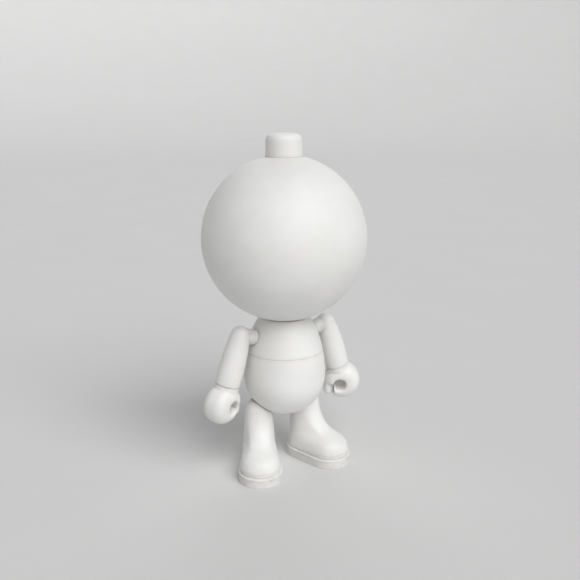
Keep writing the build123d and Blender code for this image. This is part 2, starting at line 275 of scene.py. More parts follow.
def rolled(
    body: Body, radius: float, sharper: float = 0.5, segments: int = 3,
    where: Callable[[Vector], bool] = lambda middle: True,
) -> Body:
    """Roll the sharp edges of a body.

    Args:
        body: The body, changed in place.
        radius: Radius of the roll.
        sharper: Angle in radians over which an edge counts as sharp.
        segments: Faces across the roll.
        where: Test of an edge's middle, for a roll of only some edges.

    Returns:
        The same body.
    """
    sharp = [
        e for e in body.edges
        if e.is_manifold and e.calc_face_angle(0.0) > sharper and where((e.verts[0].co + e.verts[1].co) / 2)
    ]
    bmesh.ops.bevel(
        body, geom=sharp, offset=radius, offset_type="OFFSET", segments=segments, profile=0.5,
        affect="EDGES", clamp_overlap=True, material=-1,
    )
    return body


def held(body: Body, name: str = "work") -> bpy.types.Object:
    """Put a body in the scene as a passing object."""
    mesh = bpy.data.meshes.new(name)
    body.to_mesh(mesh)
    body.free()
    thing = bpy.data.objects.new(name, mesh)
    bpy.context.scene.collection.objects.link(thing)
    return thing


def taken(thing: bpy.types.Object, others: Iterable[bpy.types.Object] = ()) -> Body:
    """Read back what an object's modifiers made, and clear the passing objects away.

    Args:
        thing: Object with live modifiers.
        others: Objects that only served them.

    Returns:
        The finished body.
    """
    graph = bpy.context.evaluated_depsgraph_get()
    made = bpy.data.meshes.new_from_object(thing.evaluated_get(graph))
    body = bmesh.new()
    body.from_mesh(made)
    bpy.data.meshes.remove(made)
    for passing in (thing, *others):
        mesh = passing.data
        bpy.data.objects.remove(passing)
        bpy.data.meshes.remove(mesh)
    return body


def carved(body: Body, tools: Sequence[tuple[Carve, Body]]) -> Body:
    """Work a row of solids on a body, one after the other.

    Args:
        body: The body to start from.
        tools: How each solid works, and the solid.

    Returns:
        The carved body.
    """
    thing = held(body)
    others = []
    for how, tool in tools:
        other = held(tool, "tool")
        step = thing.modifiers.new(how.name, "BOOLEAN")
        step.operation, step.solver, step.object = how.value, "EXACT", other
        others.append(other)
    made = taken(thing, others)
    bmesh.ops.remove_doubles(made, verts=made.verts, dist=2e-6)
    bmesh.ops.dissolve_degenerate(made, edges=made.edges, dist=1e-6)
    return made


def calmed(body: Body, verts: Sequence[bmesh.types.BMVert], passes: int) -> Body:
    """Even out some of a body's points.

    Args:
        body: The body, changed in place.
        verts: The points to move.
        passes: Number of smoothing passes.

    Returns:
        The same body.
    """
    axes = dict.fromkeys(("use_axis_x", "use_axis_y", "use_axis_z"), True)
    for _ in range(passes):
        bmesh.ops.smooth_vert(body, verts=verts, factor=0.5, **axes)
    return body


def softened(body: Body, grain: float, passes: int) -> Body:
    """Melt a body into one soft skin, so that its inner corners fill and its edges round.

    Args:
        body: The body to melt.
        grain: Side of the new faces.
        passes: Number of smoothing passes.

    Returns:
        The new skin.
    """
    thing = held(body)
    skin = thing.modifiers.new("skin", "REMESH")
    skin.mode, skin.voxel_size, skin.use_smooth_shade = "VOXEL", grain, True
    made = taken(thing)
    return calmed(made, made.verts, passes)


# ---- finishes ---------------------------------------------------------------------------------------------


class Sheet:
    """Node sheet of one material, with short calls for the nodes that the finishes use."""

    def __init__(self, name: str) -> None:
        """Start a material that holds only its output and its main shader."""
        self.material = bpy.data.materials.new(name)
        self.material.use_nodes = True
        self.tree = self.material.node_tree
        self.shader = self.tree.nodes["Principled BSDF"]
        self.place = self.node("ShaderNodeTexCoord").outputs["Object"]

    def node(self, kind: str, settings: Optional[dict] = None, **sockets: object) -> Node:
        """Add a node.

        Args:
            kind: Blender's name for the node type.
            settings: Properties to set on the node.
            **sockets: Input values or links, by the input's name with _ for a space.

        Returns:
            The node.
        """
        made = self.tree.nodes.new(kind)
        for key, value in (settings or {}).items():
            setattr(made, key, value)
        for key, value in sockets.items():
            socket = made.inputs[key.replace("_", " ")]
            if isinstance(value, Socket):
                self.tree.links.new(value, socket)
            else:
                socket.default_value = value
        return made

    def noise(self, scale: float, detail: float = 2.0, stretch: Vector = Vector((1, 1, 1))) -> Socket:
        """Cloudy pattern from 0 to 1, with its scale in features per metre."""
        moved = self.node("ShaderNodeMapping", Vector=self.place, Scale=stretch).outputs[0]
        cloud = self.node("ShaderNodeTexNoise", Vector=moved, Scale=scale, Detail=detail, Roughness=0.55)
        return cloud.outputs["Fac"]

    def between(
        self, value: Socket, *, start: float, end: float, low: float = 0.0, high: float = 1.0
    ) -> Socket:
        """Map a value from one range to another, held at its ends."""
        ranged = self.node("ShaderNodeMapRange", {"clamp": True}, Value=value)
        for key, number in (("From Min", start), ("From Max", end), ("To Min", low), ("To Max", high)):
            ranged.inputs[key].default_value = number
        return ranged.outputs[0]

    def maths(self, operation: str, first: Socket, second: Socket) -> Socket:
        """Multiply or add two values."""
        made = self.node("ShaderNodeMath", {"operation": operation})
        for value, socket in zip((first, second), made.inputs):
            self.tree.links.new(value, socket)
        return made.outputs[0]

    def tint(self, share: Socket, under: object, over: Sequence[float]) -> Socket:
        """Lay a colour over another by a share."""
        mix = self.node("ShaderNodeMix", {"data_type": "RGBA"})
        self.tree.links.new(share, mix.inputs[0])
        if isinstance(under, Socket):
            self.tree.links.new(under, mix.inputs[6])
        else:
            mix.inputs[6].default_value = (*under, 1.0)
        mix.inputs[7].default_value = (*over, 1.0)
        return mix.outputs[2]

    def relief(self, height: Socket, depth: float, under: Optional[Node] = None) -> Node:
        """Raise the surface by a height pattern, over an earlier relief if there is one."""
        bump = self.node("ShaderNodeBump", Height=height, Distance=depth, Strength=1.0)
        if under is not None:
            self.tree.links.new(under.outputs[0], bump.inputs["Normal"])
        return bump

    def link(self, socket: Socket, name: str) -> None:
        """Link a value to the main shader."""
        self.tree.links.new(socket, self.shader.inputs[name])

    def fixed(self, **values: object) -> None:
        """Set values that are the same all over, by the shader input's name with _ for a space."""
        for key, value in values.items():
            self.shader.inputs[key.replace("_", " ")].default_value = value


@dataclass(frozen=True)
class SoftVinyl:
    """Matte white vinyl, cast soft: a fine orange peel, cloudy colour, pin marks, scuffs, worn edges and
    painted shade in seams and creases.
    """

    name: str
    light: Colour = (0.800, 0.795, 0.780)
    cloud: Colour = (0.745, 0.738, 0.720)
    # Dark colour of the pin marks, and of the edge wear with painted shade in seams and creases.
    grime: Colour = (0.470, 0.450, 0.415)
    rough: tuple[float, float] = (0.46, 0.60)
    polish: float = -0.09
    # Strength of the edge wear and painted seam shade, at the faint and the full end of the edge mask.
    wear: tuple[float, float] = (0.35, 0.55)
    pit: float = -0.00004
    peel: float = 0.00005
    grain: float = 0.000018
    clouds_per_metre: float = 26.0
    patches_per_metre: float = 210.0
    marks_per_metre: float = 330.0
    marked_areas_per_metre: float = 95.0
    scuffs_per_metre: float = 60.0
    scuff_stretch: float = 9.0
    peel_per_metre: float = 340.0
    grain_per_metre: float = 2600.0

    def worn(self, sheet: Sheet) -> Socket:
        """How much of the grime and painted shade shows on the edges, seams and creases, in patches."""
        edge = sheet.node("ShaderNodeAttribute", {"attribute_name": WEAR_AND_SHADE}).outputs["Fac"]
        patchy = sheet.between(sheet.noise(self.patches_per_metre, 3.0), start=0.35, end=0.7, low=0.25)
        deep = sheet.between(edge, start=0.0, end=1.0, low=self.wear[0], high=self.wear[1])
        return sheet.maths("MULTIPLY", sheet.maths("MULTIPLY", edge, patchy), deep)

    def marks(self, sheet: Sheet) -> Socket:
        """Pin marks: small round dots, in some areas only."""
        cells = sheet.node(
            "ShaderNodeTexVoronoi", Vector=sheet.place, Scale=self.marks_per_metre, Randomness=1.0
        )
        dots = sheet.between(cells.outputs["Distance"], start=0.045, end=0.10, low=1.0, high=0.0)
        areas = sheet.between(sheet.noise(self.marked_areas_per_metre, 1.0), start=0.60, end=0.66, high=0.5)
        return sheet.maths("MULTIPLY", dots, areas)

    def made(self) -> bpy.types.Material:
        """Build the material.

        Returns:
            The vinyl.
        """
        sheet = Sheet(self.name)
        clouds = sheet.noise(self.clouds_per_metre, 3.0)
        marks = self.marks(sheet)
        base = sheet.tint(sheet.between(clouds, start=0.38, end=0.66), self.light, self.cloud)
        # Edge wear, with painted shade in seams and creases, darkens towards the grime colour.
        base = sheet.tint(self.worn(sheet), base, self.grime)
        sheet.link(sheet.tint(marks, base, self.grime), "Base Color")
        scuff = sheet.noise(self.scuffs_per_metre, 4.0, Vector((1.0, 1.0, self.scuff_stretch)))
        scuffed = sheet.between(scuff, start=0.62, end=0.74, high=self.polish)
        handled = sheet.between(clouds, start=0.3, end=0.7, low=self.rough[1], high=self.rough[0])
        sheet.link(sheet.maths("ADD", handled, scuffed), "Roughness")
        peel = sheet.relief(sheet.noise(self.peel_per_metre), self.peel)
        grain = sheet.relief(sheet.noise(self.grain_per_metre), self.grain, peel)
        sheet.link(sheet.relief(marks, self.pit, grain).outputs[0], "Normal")
        sheet.fixed(
            IOR=1.5, Specular_IOR_Level=0.42, Sheen_Weight=0.10, Sheen_Roughness=0.55, Subsurface_Weight=0.10,
            Subsurface_Scale=0.0020, Subsurface_Radius=(1.0, 0.92, 0.85),
        )
        return sheet.material


@dataclass(frozen=True)
class HardPlastic:
    """Moulded plug plastic: cooler, tighter gloss, fine turned marks and flow clouds."""

    name: str
    light: Colour = (0.66, 0.665, 0.66)
    flow: Colour = (0.58, 0.585, 0.58)
    mark: float = 0.00002
    flows_per_metre: float = 70.0
    marks_per_metre: float = 900.0

    def made(self) -> bpy.types.Material:
        """Build the material.

        Returns:
            The plastic.
        """
        sheet = Sheet(self.name)
        flow = sheet.noise(self.flows_per_metre, 4.0, Vector((1.0, 1.0, 3.0)))
        streaks = sheet.between(flow, start=0.35, end=0.7)
        sheet.link(sheet.tint(streaks, self.light, self.flow), "Base Color")
        sheet.link(sheet.between(flow, start=0.3, end=0.7, low=0.28, high=0.4), "Roughness")
        marks = sheet.noise(self.marks_per_metre, 2.0, Vector((1.0, 1.0, 6.0)))
        sheet.link(sheet.relief(marks, self.mark).outputs[0], "Normal")
        sheet.fixed(IOR=1.52, Coat_Weight=0.12, Coat_Roughness=0.3)
        return sheet.material


@dataclass(frozen=True)
class PaleFloor:
    """Pale matte studio floor."""

    name: str
    light: Colour = (0.66, 0.66, 0.655)
    cloud: Colour = (0.648, 0.648, 0.643)
    tooth: float = 0.00004
    clouds_per_metre: float = 9.0
    tooth_per_metre: float = 500.0

    def made(self) -> bpy.types.Material:
        """Build the material.

        Returns:
            The floor's paint.
        """
        sheet = Sheet(self.name)
        clouds = sheet.between(sheet.noise(self.clouds_per_metre, 4.0), start=0.35, end=0.65)
        sheet.link(sheet.tint(clouds, self.light, self.cloud), "Base Color")
        sheet.link(sheet.relief(sheet.noise(self.tooth_per_metre, 3.0), self.tooth).outputs[0], "Normal")
        sheet.fixed(Roughness=0.62)
        return sheet.material


@dataclass
class Finishes:
    """The materials that the figure's pieces share."""

    vinyl: bpy.types.Material = field(default_factory=lambda: SoftVinyl("soft_vinyl").made())
    sole: bpy.types.Material = field(
        default_factory=lambda: SoftVinyl("sole_vinyl", rough=(0.42, 0.54), peel=0.00003).made()
    )
    plug: bpy.types.Material = field(default_factory=lambda: HardPlastic("plug_plastic").made())


def mark_wear(body: Body, sharper: float = 0.3, spread: int = 5) -> None:
    """Write how near each point lies to a sharp edge or crease, as an attribute that the vinyl reads as wear
    and painted shade.

    Args:
        body: The finished body, changed in place.
        sharper: Angle in radians over which an edge counts as worn, or as a crease that gets painted shade.
        spread: Number of faces that the wear and painted shade fade over.
    """
    layer = body.verts.layers.float.new(WEAR_AND_SHADE)
    # Ridges and hollow creases both count, so seams and creases get painted shade as well as wear.
    sharp = [e for e in body.edges if e.is_manifold and abs(e.calc_face_angle(0.0)) > sharper]
    near = {v: 1.0 for e in sharp for v in e.verts}
    edge = set(near)
    for ring in range(1, spread):
        share = 1.0 - ring / spread
        edge = {e.other_vert(v) for v in edge for e in v.link_edges} - near.keys()
        near.update((v, share) for v in edge)
    for vert, share in near.items():
        vert[layer] = share * share


def finished(
    body: Body, name: str, rides: str, finish: bpy.types.Material, stands_for: str, crease: float = 0.6
) -> bpy.types.Object:
    """Make a body a piece of the figure.

    Args:
        body: The body, in place.
        name: The piece's name.
        rides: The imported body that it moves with.
        finish: Its material.
        stands_for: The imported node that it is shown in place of.
        crease: Angle in radians over which an edge stays crisp.

    Returns:
        The piece.
    """
    # Mark the edges for wear, and the seams and creases for painted shade.
    mark_wear(body)
    piece = held(body, name)
    piece.data.shade_smooth()
    piece.data.set_sharp_from_angle(angle=crease)
    piece.data.materials.append(finish)
    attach(piece, rides)
    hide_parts(stands_for)
    faces = sum(len(p.vertices) - 2 for p in piece.data.polygons)
    LOG.info("%s: %d triangles, moves with %s", name, faces, rides)
    return piece


# ---- the figure -------------------------------------------------------------------------------------------


@dataclass
class Head:
    """Ball head with a sunk seat for the cap, and the cap with its stem."""

    finish: bpy.types.Material
    wall: float = 0.0026
    lip: float = 0.00030
    recess: float = 0.0004
    cap_play: float = 0.00015
    cap_hole: float = 0.00353
    cap_stem: float = 0.0035
    cap_edge: float = 0.0040
    cap_crown: float = 0.00035
    cap_draft: float = 0.00015
    collar: float = 0.0018
    neck_hole: float = 0.00603
    pad_rim: float = 0.0008
    turns: int = 144

    def __post_init__(self) -> None:
        """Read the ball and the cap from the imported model."""
        low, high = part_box("head_shell")
        self.radius = (high.x - low.x) / 2
        self.middle = Pivot.of("neck_turn").point.z + self.radius
        low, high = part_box("head_cap")
        self.cap_radius = (high.x - low.x) / 2
        self.cap_foot, self.cap_top = low.z, high.z
        self.seat = self.middle + math.sqrt(self.radius**2 - self.cap_radius**2) - self.recess
        low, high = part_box("neck_connector")
        self.pad = (high.x - low.x) / 2 + self.pad_rim

    def shell(self) -> Body:
        """Model the ball: a hollow shell with a neck hole and a sunk seat for the cap.

        Returns:
            The ball.
        """
        inner = self.radius - self.wall
        rim = self.cap_radius + self.cap_play
        ceiling = self.seat - self.wall
        floor = self.middle - math.sqrt(inner**2 - self.pad**2)
        first, last = math.acos(rim / self.radius), -math.acos(self.neck_hole / self.radius)
        top = math.asin((ceiling - self.middle) / inner)
        low = -math.acos(self.pad / inner)
        outline = (
            Outline(self.cap_hole, self.seat)
            .line(rim, self.seat)
            .line(rim, self.middle + self.radius * math.sin(first))
            .arc(0.0, self.middle, first - last, 100)
            .line(self.neck_hole, floor)
            .line(self.pad, floor)
            .arc(0.0, self.middle, low - top, 36)
            .line(self.cap_hole, ceiling)
            .close()
        )
        body = outline.turned(self.turns)
        return rolled(
            body, self.lip,
            where=lambda p: p.z > self.seat + self.recess / 2 or p.z < floor - self.wall / 2,
        )

    def cap(self) -> Body:
        """Model the cap: slightly drafted sides, a soft shoulder, a faint crown and the stem below.

        Returns:
            The cap.
        """
        shoulder = self.cap_top - self.cap_crown
        side = self.cap_radius - self.cap_draft
        flat = side - self.cap_edge
        bow = (flat**2 + self.cap_crown**2) / (2 * self.cap_crown)
        outline = (
            Outline(0.0, self.cap_foot)
            .line(self.cap_radius / 2, self.cap_foot)
            .line(self.cap_radius / 2, self.cap_foot + self.collar)
            .line(self.cap_stem, self.cap_foot + self.collar)
            .line(self.cap_stem, self.seat)
            .line(self.cap_radius, self.seat)
            .line(side, shoulder - self.cap_edge, 8)
            .arc(flat, shoulder - self.cap_edge, -math.pi / 2, 12)
            .arc(0.0, self.cap_top - bow, -math.asin(flat / bow), 8)
        )
        return rolled(outline.turned(96), self.lip, where=lambda p: abs(p.z - self.seat) < 1e-4)

    def build(self) -> None:
        """Make the head's two pieces."""
        finished(self.shell(), "head", "head", self.finish, "head_shell")
        finished(self.cap(), "cap", "head", self.finish, "head_cap")


@dataclass
class Trunk:
    """Egg-shaped body in two shells that turn on each other at the waist."""

    finish: bpy.types.Material
    wall: float = 0.0026
    plate: float = 0.0030
    rise: float = 0.0450
    gap: float = 0.0003
    seam: float = 0.00011
    lip: float = 0.00011
    neck_hole: float = 0.00606
    waist_glued: float = 0.00903
    waist_running: float = 0.00906
    boss: float = 0.0046
    seat_depth: float = 0.0009
    pad_inset: float = 0.0004
    shoulder_hole: float = 0.00226
    shoulder_pad: float = 0.0046
    hip_hole: float = 0.00356
    hip_pad: float = 0.0066
    hip_flat: float = 0.0058
    hip_inset: float = 0.0015
    turns: int = 128

    def __post_init__(self) -> None:
        """Read the egg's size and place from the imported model."""
        low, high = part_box("belly_shell")
        self.radius = (high.x - low.x) / 2
        self.middle = low.z + self.radius
        self.waist = Pivot.of("waist_turn").point.z
        self.neck = Pivot.of("neck_turn").point.z
        low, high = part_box("head_shell")
        self.head_radius = (high.x - low.x) / 2

    def at(self, height: float, inset: float = 0.0) -> float:
        """Angle on the upper half of the egg at a height."""
        return math.asin((height - self.middle) / (self.rise - inset))

    def wide(self, height: float, inset: float = 0.0) -> float:
        """Radius of the upper half of the egg at a height."""
        return (self.radius - inset) * math.cos(self.at(height, inset))

    def shoulder_seat(self, shoulder: Pivot, inward: Vector) -> float:
        """Find the sunk flat for the arm.

        Args:
            shoulder: The shoulder's joint.
            inward: Direction from it into the chest.

        Returns:
            Distance from the shoulder's centre to the flat.
        """

        def outside(travel: float) -> float:
            """Distance outside the egg at a place on the shoulder's line."""
            point = shoulder.point + inward * travel
            return abs(point.x) - self.wide(point.z)

        return crossing(outside, 0.0, self.radius) + self.seat_depth

    def chest(self) -> Body:
        """Model the upper shell: dished under the head, with a sunk flat and a hole for each arm.

        Returns:
            The chest.
        """
        dish = self.head_radius + self.gap
        head = self.neck + self.head_radius
        low, ceiling = self.waist + self.seam / 2, self.neck - self.gap - self.wall
        floor, tall = low + self.plate, self.rise / self.radius
        inner_tall = (self.rise - self.wall) / (self.radius - self.wall)

        def below_head(angle: float) -> float:
            """Distance outside the head's ball at an angle on the egg."""
            height = self.middle + self.rise * math.sin(angle)
            return math.hypot(self.radius * math.cos(angle), height - head) - dish

        top = crossing(below_head, self.at(low), math.pi / 2 - 0.01)
        rim = self.radius * math.cos(top)
        first, last = math.asin(rim / dish), math.asin(self.neck_hole / dish)
        outline = (
            Outline(self.waist_glued, low)
            .line(self.wide(low), low)
            .arc(0.0, self.middle, self.at(low) - top, 44, tall)
            .arc(0.0, head, first - last, 24)
            .line(self.neck_hole, ceiling)
            .line(self.wide(ceiling, self.wall), ceiling)
            .arc(0.0, self.middle, self.at(ceiling, self.wall) - self.at(floor, self.wall), 16, inner_tall)
            .line(self.waist_glued, floor)
            .close()
        )
        body = outline.turned(self.turns)
        rolled(
            body, self.lip,
            where=lambda p: p.xy.length > rim - NEAR and (p.z < floor - 2 * NEAR or p.z > ceiling + NEAR),
        )
        pads, cuts = [], []
        for side in Side:
            shoulder = Pivot.of(f"shoulder_{side.word}_swing")
            inward = pointing(shoulder.line, Vector((-side.value, 0, 0)))
            seat = self.shoulder_seat(shoulder, inward)
            place = along(shoulder.point, inward)
            back = seat + self.wall
            pads.append((Carve.JOIN, rod(place, seat + self.pad_inset, back, self.shoulder_pad, 48)))
            cuts.append((Carve.CUT, rod(place, 0.0, seat, self.boss + self.gap, 72)))
            cuts.append((Carve.CUT, rod(place, seat - PAST, back + PAST, self.shoulder_hole, 40)))
        return carved(body, pads + cuts)

    def belly(self) -> Body:
        """Model the lower shell: a flat top plate, and a pad and a hole for each leg.

        Returns:
            The belly.
        """
        top, tall = self.waist - self.seam / 2, self.rise / self.radius
        inner = self.radius - self.wall
        ceiling, inner_tall = top - self.plate, (self.rise - self.wall) / inner
        outline = (
            Outline(0.0, self.middle - self.radius)
            .arc(0.0, self.middle, -math.pi / 2, 44)
            .arc(0.0, self.middle, -self.at(top), 16, tall)
            .line(self.waist_running, top)
            .line(self.waist_running, ceiling)
            .line(self.wide(ceiling, self.wall), ceiling)
            .arc(0.0, self.middle, self.at(ceiling, self.wall), 8, inner_tall)
            .arc(0.0, self.middle, math.pi / 2, 24)
        )
        body = outline.turned(self.turns)
        rolled(body, self.lip, where=lambda p: p.z > ceiling + 2 * NEAR and p.xy.length > self.radius / 2)
        centre = Vector((0, 0, self.middle))
        flat = math.sqrt(inner**2 - self.hip_flat**2)
        pads, cuts = [], []
        for side in Side:
            hip = Pivot.of(f"hip_{side.word}_turn")
            place = along(centre, (hip.point - centre).normalized())
            pads.append((Carve.JOIN, rod(place, flat, self.radius - self.hip_inset, self.hip_pad, 48)))
            cuts.append((Carve.CUT, rod(place, flat - PAST, self.radius + PAST, self.hip_hole, 48)))
        return carved(body, pads + cuts)

    def build(self) -> None:
        """Make the trunk's two pieces."""
        finished(self.chest(), "chest", "chest", self.finish, "chest_shell")
        finished(self.belly(), "belly", "belly", self.finish, "belly_shell")


@dataclass
class Arm:
    """Splayed arm that turns on the chest, and the ring fist that turns on its wrist."""

    side: Side
    finish: bpy.types.Material
    trunk: Trunk
    top_radius: float = 0.0056
    wrist_radius: float = 0.00725
    lean: float = math.radians(10.0)
    wall: float = 0.0020
    solid: float = 0.0065
    lip: float = 0.00030
    gap: float = 0.0003
    seam: float = 0.00018
    boss_edge: float = 0.00025
    stub_edge: float = 0.0003
    shoulder_stem: float = 0.00223
    spigot: float = 0.0015
    wrist_running: float = 0.00206
    wrist_glued: float = 0.00203
    wrist_spigot: float = 0.0036
    fist_radius: float = 0.0115
    fist_thick: float = 0.0160
    fist_edge: float = 0.0065
    fist_gap: float = 0.00035
    outset: float = 0.0002
    twist: float = math.radians(30.0)
    grip: float = 0.0040
    grip_drop: float = 0.0005
    grip_inset: float = 0.0014
    grip_flare: float = 0.0003
    slot: float = 0.0005
    fingertip: float = 0.0030
    thumb: tuple[float, float, float] = (0.0060, 0.0118, 0.0140)
    thumb_reach: float = 0.0092
    grain: float = 0.00030
    melts: tuple[int, int, int] = (20, 18, 4)

    def __post_init__(self) -> None:
        """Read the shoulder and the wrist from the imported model."""
        shoulder = Pivot.of(f"shoulder_{self.side.word}_swing")
        wrist = Pivot.of(f"wrist_{self.side.word}_turn")
        self.inward = pointing(shoulder.line, Vector((-self.side.value, 0, 0)))
        self.down = pointing(wrist.line, Vector((0, 0, -1)))
        self.shoulder, self.wrist = shoulder.point, wrist.point
        self.length = (self.wrist - self.shoulder).length
        self.seat = self.trunk.shoulder_seat(shoulder, self.inward)
        self.web = -(self.grip_inset + self.grip)

    def limb(self) -> Body:
        """Model the arm: a tapered hollow tube with a round shoulder and a boss against the chest.

        Returns:
            The arm.
        """
        last = self.length - self.wall
        outline = (
            Outline(0.0, -self.top_radius)
            .arc(0.0, 0.0, self.lean - math.pi / 2, 20)
            .sweep(self.wrist_radius, self.length, self.lean, 28)
            .line(self.wrist_running, self.length)
            .line(self.wrist_running, last)
            .line(self.wrist_radius - self.wall, last)
            .line(self.top_radius - self.wall, self.solid, 6)
            .line(0.0, self.solid)
        )
        body = outline.turned(72, along(self.shoulder, self.down))
        end, rim = self.wrist, self.wrist_radius * 0.9
        rolled(body, self.lip, where=lambda p: (p - end).length > rim and (p - end).dot(self.down) > -HAIR)
        place = along(self.shoulder, self.inward)
        boss = rod(place, 0.0, self.seat - self.seam, self.trunk.boss, 64, self.boss_edge)
        hole = rod(place, -self.spigot, self.seat, self.shoulder_stem, 32)
        return carved(body, [(Carve.JOIN, boss), (Carve.CUT, hole)])

    def fist(self) -> Body:
        """Model the fist: a soft ring round the grip, a thumb on the body's side and a slot between.

        Returns:
            The fist.
        """
        out = self.side.value
        level = Matrix.Rotation(math.pi / 2, 4, "X")
        drop = self.fist_radius + self.fist_gap
        fingers = softened(self.fingers(level), self.grain, self.melts[0])
        deep, wide, tall = self.thumb
        thumb = self.block((deep, wide, tall), ((self.web - deep / 2) * out, 0, -self.thumb_reach + tall / 2))
        rolled(thumb, deep / 2 - HAIR, 1.0, 8)
        body = softened(carved(fingers, [(Carve.JOIN, thumb)]), self.grain, self.melts[1])
        slot = self.block(
            (self.slot, 2 * self.fist_thick, self.fist_radius),
            ((self.web + self.slot / 2) * out, 0, -self.grip_drop - self.fist_radius / 2),
        )
        centre = self.wrist + self.down * drop - self.inward * self.outset
        turn = Matrix.Rotation(self.twist * out, 3, self.down)
        for part in (body, slot):
            bmesh.ops.translate(part, vec=centre, verts=part.verts)
            bmesh.ops.rotate(part, cent=self.wrist, matrix=turn, verts=part.verts)
        place = along(self.wrist, self.down)
        stub = rod(place, self.seam, drop - self.grip, self.wrist_radius, 72, self.stub_edge)
        hole = rod(place, -self.gap, self.gap + self.wrist_spigot, self.wrist_glued, 32)
        body = carved(body, [(Carve.JOIN, stub), (Carve.CUT, hole)])
        return carved(softened(body, self.grain, self.melts[2]), [(Carve.CUT, slot)])

    def fingers(self, level: Matrix) -> Body:
        """Model the ring of the fist: open where the thumb goes, with round fingertips and the grip's hole.

        Args:
            level: Turn that lays a centre line along the grip.

        Returns:
            The ring, about the middle of the fist.
        """
        out, web, size = self.side.value, self.web, self.fist_radius
        half, edge = self.fist_thick / 2, self.fist_edge
        ring = (
            Outline(0.0, -half)
            .line(size - edge, -half, 3)
            .arc(size - edge, -half + edge, -math.pi / 2, 14)
            .line(size, half - edge, 3)
            .arc(size - edge, half - edge, -math.pi / 2, 14)
            .line(0.0, half, 3)
            .turned(96, level)
        )
        hollow = self.block((2 * size,) * 3, (web * out - size * out, 0, -self.grip_drop - size))
        tip = (web + self.slot + self.fingertip) * out
        fall = math.sqrt((size - self.fingertip) ** 2 - tip**2)
        span = abs(tip - web * out)
        corner = self.block((span, 4 * half, size), ((tip + web * out) / 2, 0, -fall - size / 2))
        across = Matrix.Translation((tip, 0, -fall)) @ level
        corner = carved(corner, [(Carve.CUT, rod(across, -2 * half, 2 * half, self.fingertip, 64))])
        mouth, flare = half + PAST / 2, self.grip_flare
        bore = (
            Outline(0.0, -mouth)
            .line(self.grip + flare, -mouth)
            .line(self.grip, -mouth + 2 * flare)
            .line(self.grip, mouth - 2 * flare)
            .line(self.grip + flare, mouth)
            .line(0.0, mouth)
            .turned(64, Matrix.Translation((-self.grip_inset * out, 0, -self.grip_drop)) @ level)
        )
        return carved(ring, [(Carve.CUT, hollow), (Carve.CUT, corner), (Carve.CUT, bore)])

    @staticmethod
    def block(sides: Sequence[float], centre: Sequence[float]) -> Body:
        """Make a block.

        Args:
            sides: Its three sides.
            centre: Its middle.

        Returns:
            The block.
        """
        body = bmesh.new()
        bmesh.ops.create_cube(body, size=1.0)
        bmesh.ops.scale(body, vec=sides, verts=body.verts)
        bmesh.ops.translate(body, vec=centre, verts=body.verts)
        return body

    def build(self) -> None:
        """Make the arm and its fist."""
        word = self.side.word
        finished(self.limb(), f"arm_{word}_limb", f"arm_{word}", self.finish, f"arm_{word}")
        finished(self.fist(), f"fist_{word}", f"hand_{word}", self.finish, f"hand_{word}", 1.2)


@dataclass(frozen=True)
class Ring:
    """Outline round a foot: a round heel, a round toe ahead of it, and the two straight sides."""

    height: float
    heel: float
    toe: float
    reach: float

    def grown(self, by: float) -> "Ring":
        """The same outline moved outwards."""
        return Ring(self.height, self.heel + by, self.toe + by, self.reach)

    def raised(self, height: float) -> "Ring":
        """The same outline at another height."""
        return Ring(height, self.heel, self.toe, self.reach)


class Loft:
    """Skin drawn through a stack of foot outlines, closed at both ends."""

    ROUND = 96
    LONG = 7

    def __init__(self, first: Ring) -> None:
        """Lay the first outline down as a closed end."""
        self.mesh = bmesh.new()
        bmesh.ops.create_circle(self.mesh, cap_ends=True, radius=1.0, segments=self.ROUND)
        self.rim = self.mesh.edges[:]
        self.turns = {v: math.atan2(v.co.x, -v.co.y) for v in self.mesh.verts}
        self.shape(first)

    def at_toe(self, vert: bmesh.types.BMVert) -> bool:
        """Whether a point belongs to the round toe rather than the round heel."""
        return abs(self.turns[vert]) < math.pi / 2 - 1e-4

    def shape(self, ring: Ring) -> None:
        """Move the open outline to where a ring says, its sides meeting both rounds without a kink."""
        taper = math.asin((ring.heel - ring.toe) / ring.reach) / (math.pi / 2)
        for vert in {v for e in self.rim for v in e.verts}:
            turn = self.turns[vert]
            if self.at_toe(vert):
                radius, ahead, turn = ring.toe, ring.reach, turn * (1 - taper)
            else:
                back = math.copysign(math.pi, turn)
                radius, ahead, turn = ring.heel, 0.0, back + (turn - back) * (1 + taper)
            vert.co = (radius * math.sin(turn), -ahead - radius * math.cos(turn), ring.height)

    def on(self, ring: Ring) -> "Loft":
        """Draw the skin on to the next outline."""
        grown = bmesh.ops.extrude_edge_only(self.mesh, edges=self.rim)["geom"]
        fresh = {g for g in grown if isinstance(g, bmesh.types.BMVert)}
        for vert in fresh:
            near = [e.other_vert(vert) for e in vert.link_edges]
            self.turns[vert] = next(self.turns[v] for v in near if v not in fresh)
        self.rim = [g for g in grown if isinstance(g, bmesh.types.BMEdge) and set(g.verts) <= fresh]
        self.shape(ring)
        return self

    def done(self, place: Matrix) -> Body:
        """Close the skin and put it in place.

        Args:
            place: Where the outlines' heel line goes.

        Returns:
            The body.
        """
        long = [e for e in self.mesh.edges if self.at_toe(e.verts[0]) != self.at_toe(e.verts[1])]
        rim = set(self.rim)
        bmesh.ops.holes_fill(self.mesh, edges=list(rim), sides=0)
        bmesh.ops.subdivide_edges(self.mesh, edges=long, cuts=self.LONG, use_grid_fill=True)
        bmesh.ops.recalc_face_normals(self.mesh, faces=self.mesh.faces)
        bmesh.ops.transform(self.mesh, matrix=place, verts=self.mesh.verts)
        return self.mesh


